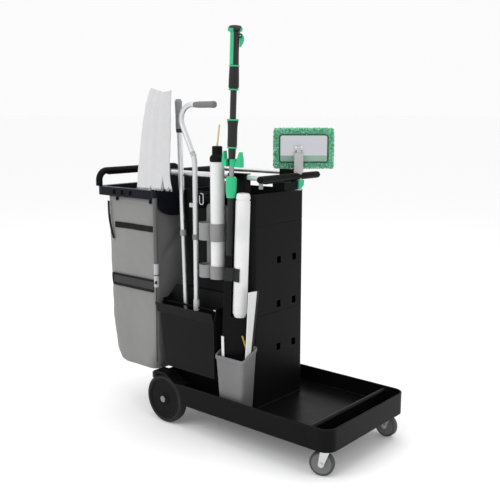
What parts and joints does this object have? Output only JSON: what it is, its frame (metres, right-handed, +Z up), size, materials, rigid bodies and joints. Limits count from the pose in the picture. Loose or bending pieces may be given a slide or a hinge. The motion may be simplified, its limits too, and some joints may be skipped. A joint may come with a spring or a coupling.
{
  "type": "janitor cart",
  "caption": "Wheeled cleaning cart: tray base with storage tower, hanging waste bag on a frame with push bar, rails, and clipped-on mop, dustpan, duster, pole, bottles and pad tool.",
  "frame": {"origin": "on the floor, below the middle of the cart's bounding box", "axes": "+Z up, +X towards the deck end with the casters, -X towards the push bar, the tools hang on the -Y side"},
  "size_m": [1.226, 0.522, 1.5533],
  "materials": {
    "black_plastic": "moulded black plastic with a satin grain",
    "navy_plastic": "moulded blue-black plastic",
    "black_tyre": "black rubber",
    "grey_tread": "grey rubber",
    "steel": "zinc-plated steel",
    "aluminium": "satin anodised aluminium",
    "white_plastic": "white plastic",
    "grey_plastic": "moulded grey plastic",
    "dark_plastic": "ribbed dark grey plastic",
    "green_plastic": "green plastic",
    "yellow_plastic": "yellow plastic",
    "grey_fabric": "woven grey polyester",
    "white_fabric": "white fleece",
    "green_fabric": "green microfibre pile"
  },
  "bodies": {
    "cart": {"base_tray": "black_plastic", "rear_axle": "steel", "axle_caps": "white_plastic", "caster_plates": "steel", "caster_screws": "steel", "tower_lower": "black_plastic", "tower_middle": "black_plastic", "tower_top": "black_plastic", "near_rail": "aluminium", "far_rail": "aluminium", "rail_clamp": "black_plastic", "front_handle": "black_plastic", "handle_bracket": "black_plastic", "pad_clip": "green_plastic", "rear_panel": "navy_plastic", "bag_frame": "navy_plastic", "bag_studs": "navy_plastic", "push_bar": "black_plastic", "waste_bag": "grey_fabric", "bottle_holder": "grey_plastic", "mop_clip": "black_plastic", "mop_jaws": "green_plastic", "mop_pole": "dark_plastic", "mop_sleeve": "green_plastic", "refill_bottle": "white_plastic", "refill_clip": "dark_plastic", "mop_head": "black_plastic", "bucket": "grey_plastic", "blades": "white_plastic", "pan_rod": "steel", "cane_tube": "aluminium", "cane_fittings": "grey_plastic", "cane_clip": "white_plastic", "pole_lower": "aluminium"},
    "near_wheel": {"near_wheel_hub": "black_plastic", "near_wheel_tyre": "black_tyre"},
    "far_wheel": {"far_wheel_hub": "black_plastic", "far_wheel_tyre": "black_tyre"},
    "near_swivel": {"near_caster_fork": "steel", "near_caster_bolt": "steel"},
    "near_roller": {"near_caster_wheel": "dark_plastic", "near_caster_tread": "grey_tread"},
    "far_swivel": {"far_caster_fork": "steel", "far_caster_bolt": "steel"},
    "far_roller": {"far_caster_wheel": "dark_plastic", "far_caster_tread": "grey_tread"},
    "mop_handle": {"mop_upper": "dark_plastic", "mop_rings": "green_plastic", "trigger_pin": "steel"},
    "trigger": {"mop_trigger": "green_plastic"},
    "pan": {"dustpan": "black_plastic"},
    "pole_slider": {"pole_upper": "aluminium"},
    "duster": {"duster_rod": "grey_plastic", "duster_sleeve": "white_fabric"},
    "bottle": {"spare_bottle": "white_plastic", "spare_cap": "black_plastic", "yellow_tube": "yellow_plastic"},
    "pad_stem": {"pad_shaft": "grey_plastic"},
    "pad_head": {"pad_plate": "aluminium", "pad_cloth": "green_fabric"}
  },
  "joints": [
    {"name": "near_wheel_spin", "type": "hinge", "parent": "cart", "child": "near_wheel", "pos_m": [-0.208, -0.236, 0.1], "axis": [0, 1, 0], "continuous": true},
    {"name": "near_caster_swivel", "type": "hinge", "parent": "cart", "child": "near_swivel", "pos_m": [0.575, -0.216, 0.1], "axis": [0, 0, 1], "continuous": true},
    {"name": "near_caster_roll", "type": "hinge", "parent": "near_swivel", "child": "near_roller", "pos_m": [0.55809, -0.22216, 0.045], "axis": [-0.342, 0.9397, 0], "continuous": true},
    {"name": "far_wheel_spin", "type": "hinge", "parent": "cart", "child": "far_wheel", "pos_m": [-0.208, 0.236, 0.1], "axis": [0, 1, 0], "continuous": true},
    {"name": "far_caster_swivel", "type": "hinge", "parent": "cart", "child": "far_swivel", "pos_m": [0.575, 0.216, 0.1], "axis": [0, 0, 1], "continuous": true},
    {"name": "far_caster_roll", "type": "hinge", "parent": "far_swivel", "child": "far_roller", "pos_m": [0.557, 0.216, 0.045], "axis": [0, 1, 0], "continuous": true},
    {"name": "mop_extend", "type": "slide", "parent": "cart", "child": "mop_handle", "axis": [0.0401, 0, 0.9992], "range_m": [0, 0.3]},
    {"name": "mop_trigger_pull", "type": "hinge", "parent": "mop_handle", "child": "trigger", "pos_m": [0.17044, -0.20575, 1.51617], "axis": [-0.4996, 0.866, 0.0201], "range_deg": [0, 10], "stiffness_Nm_per_rad": 0.5},
    {"name": "pan_swing", "type": "hinge", "parent": "cart", "child": "pan", "pos_m": [-0.08, -0.21, 0.502], "axis": [1, 0, 0], "range_deg": [-4, 0]},
    {"name": "pole_extend", "type": "slide", "parent": "cart", "child": "pole_slider", "axis": [-0.0698, 0.0377, 0.9968], "range_m": [0, 0.18]},
    {"name": "duster_lift", "type": "slide", "parent": "cart", "child": "duster", "axis": [0, 0, 1], "range_m": [0, 0.25]},
    {"name": "bottle_lift", "type": "slide", "parent": "cart", "child": "bottle", "axis": [0, 0, 1], "range_m": [0, 0.13]},
    {"name": "pad_lift", "type": "slide", "parent": "cart", "child": "pad_stem", "axis": [0, 0, 1], "range_m": [0, 0.1]},
    {"name": "pad_tilt", "type": "hinge", "parent": "pad_stem", "child": "pad_head", "pos_m": [0.235, 0.054, 1.1173], "axis": [0.766, 0.6428, 0], "range_deg": [0, 110]}
  ]
}
